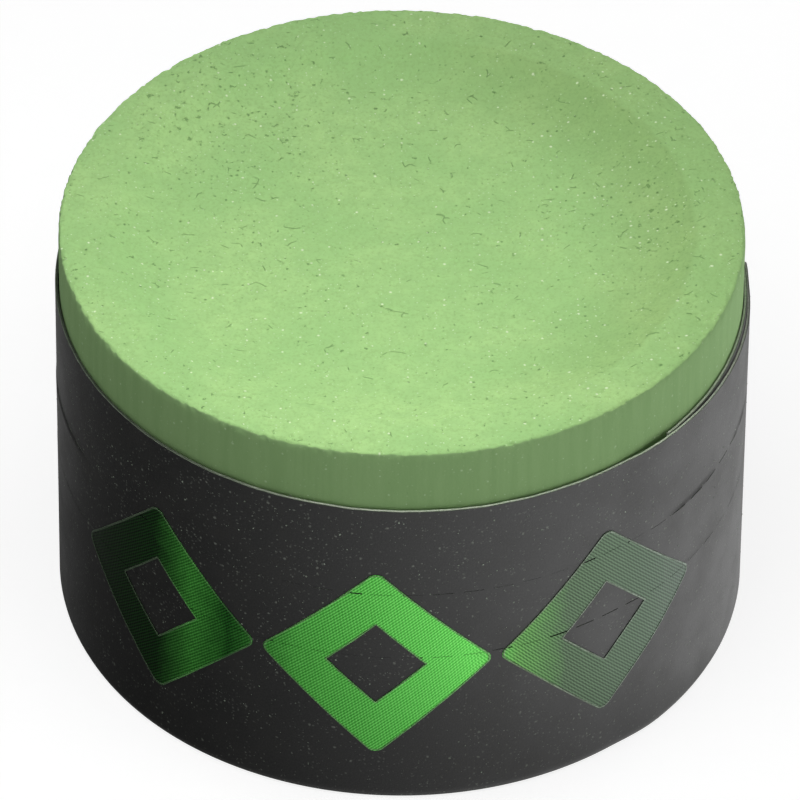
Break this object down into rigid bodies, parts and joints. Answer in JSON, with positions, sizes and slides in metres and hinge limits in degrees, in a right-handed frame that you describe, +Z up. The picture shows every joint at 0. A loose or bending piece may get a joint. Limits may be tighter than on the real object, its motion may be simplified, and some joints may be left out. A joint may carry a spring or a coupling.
{
  "type": "cue chalk",
  "caption": "Round cue chalk: a pressed chalk cylinder with a shallow tip dish, wrapped in a dark lapped paper-and-film label with tear-off slits and foil diamonds.",
  "frame": {"origin": "centre of the flat face that the chalk rests on", "axes": "+Z up along the chalk's own axis, out of the dish; -Y is the front, which the middle foil diamond nearly faces; +X is to its right, where the label laps"},
  "size_m": [0.0291, 0.029, 0.0191],
  "materials": {
    "chalk": "matte pressed abrasive chalk, fine open grain with pits and scratches",
    "glue": "clear dried label glue",
    "label_paper": "uncoated pale paper, cut edge showing",
    "label_face": "satin charcoal printed film with fine chalk dust",
    "foil": "green hatched metallised foil with a pale pressed border"
  },
  "bodies": {
    "root": {"chalk_body": "chalk", "label_glue": "glue", "label_paper": "label_paper", "label_face": "label_face", "lap_glue": "glue", "stamped_diamond_left": "foil", "stamped_diamond_centre": "foil", "stamped_diamond_right": "foil"}
  },
  "joints": []
}
